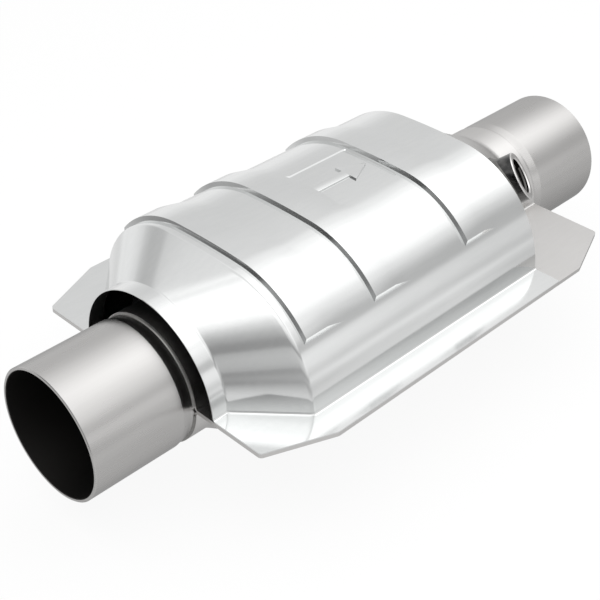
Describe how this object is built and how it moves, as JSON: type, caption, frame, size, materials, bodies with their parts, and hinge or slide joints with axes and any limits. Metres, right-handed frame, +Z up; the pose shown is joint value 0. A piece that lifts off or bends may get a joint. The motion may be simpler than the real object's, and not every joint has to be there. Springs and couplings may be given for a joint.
{
  "type": "catalytic converter",
  "caption": "Universal catalytic converter: polished steel clamshell body with a stamped heat shield, an oval honeycomb inside, a pipe stub at each end and a threaded sensor bung.",
  "frame": {"origin": "under the middle of the converter, on the plane that the lower shell's ribs stand on", "axes": "+X along the exhaust from inlet to outlet, +Z up towards the heat shield, +Y across the flange away from the sensor bung"},
  "size_m": [0.3302, 0.1616, 0.099],
  "materials": {
    "pipe_steel": "satin stainless tube",
    "shell_steel": "satin stainless sheet",
    "shield_steel": "polished stainless sheet",
    "bung_steel": "turned stainless",
    "weld": "weld metal",
    "ceramic": "unglazed cordierite honeycomb",
    "mat": "intumescent fibre mat",
    "wire_mesh": "knitted wire"
  },
  "bodies": {
    "root": {"inlet_pipe": "pipe_steel", "outlet_pipe": "pipe_steel", "upper_shell": "shell_steel", "lower_shell": "shell_steel", "heat_shield": "shield_steel", "sensor_bung": "bung_steel", "bung_weld": "weld", "inlet_weld_upper": "weld", "inlet_weld_lower": "weld", "outlet_weld_upper": "weld", "outlet_weld_lower": "weld", "front_brick": "ceramic", "rear_brick": "ceramic", "front_mat": "mat", "rear_mat": "mat", "front_brick_inlet_seal": "wire_mesh", "front_brick_outlet_seal": "wire_mesh", "rear_brick_inlet_seal": "wire_mesh", "rear_brick_outlet_seal": "wire_mesh"}
  },
  "joints": []
}
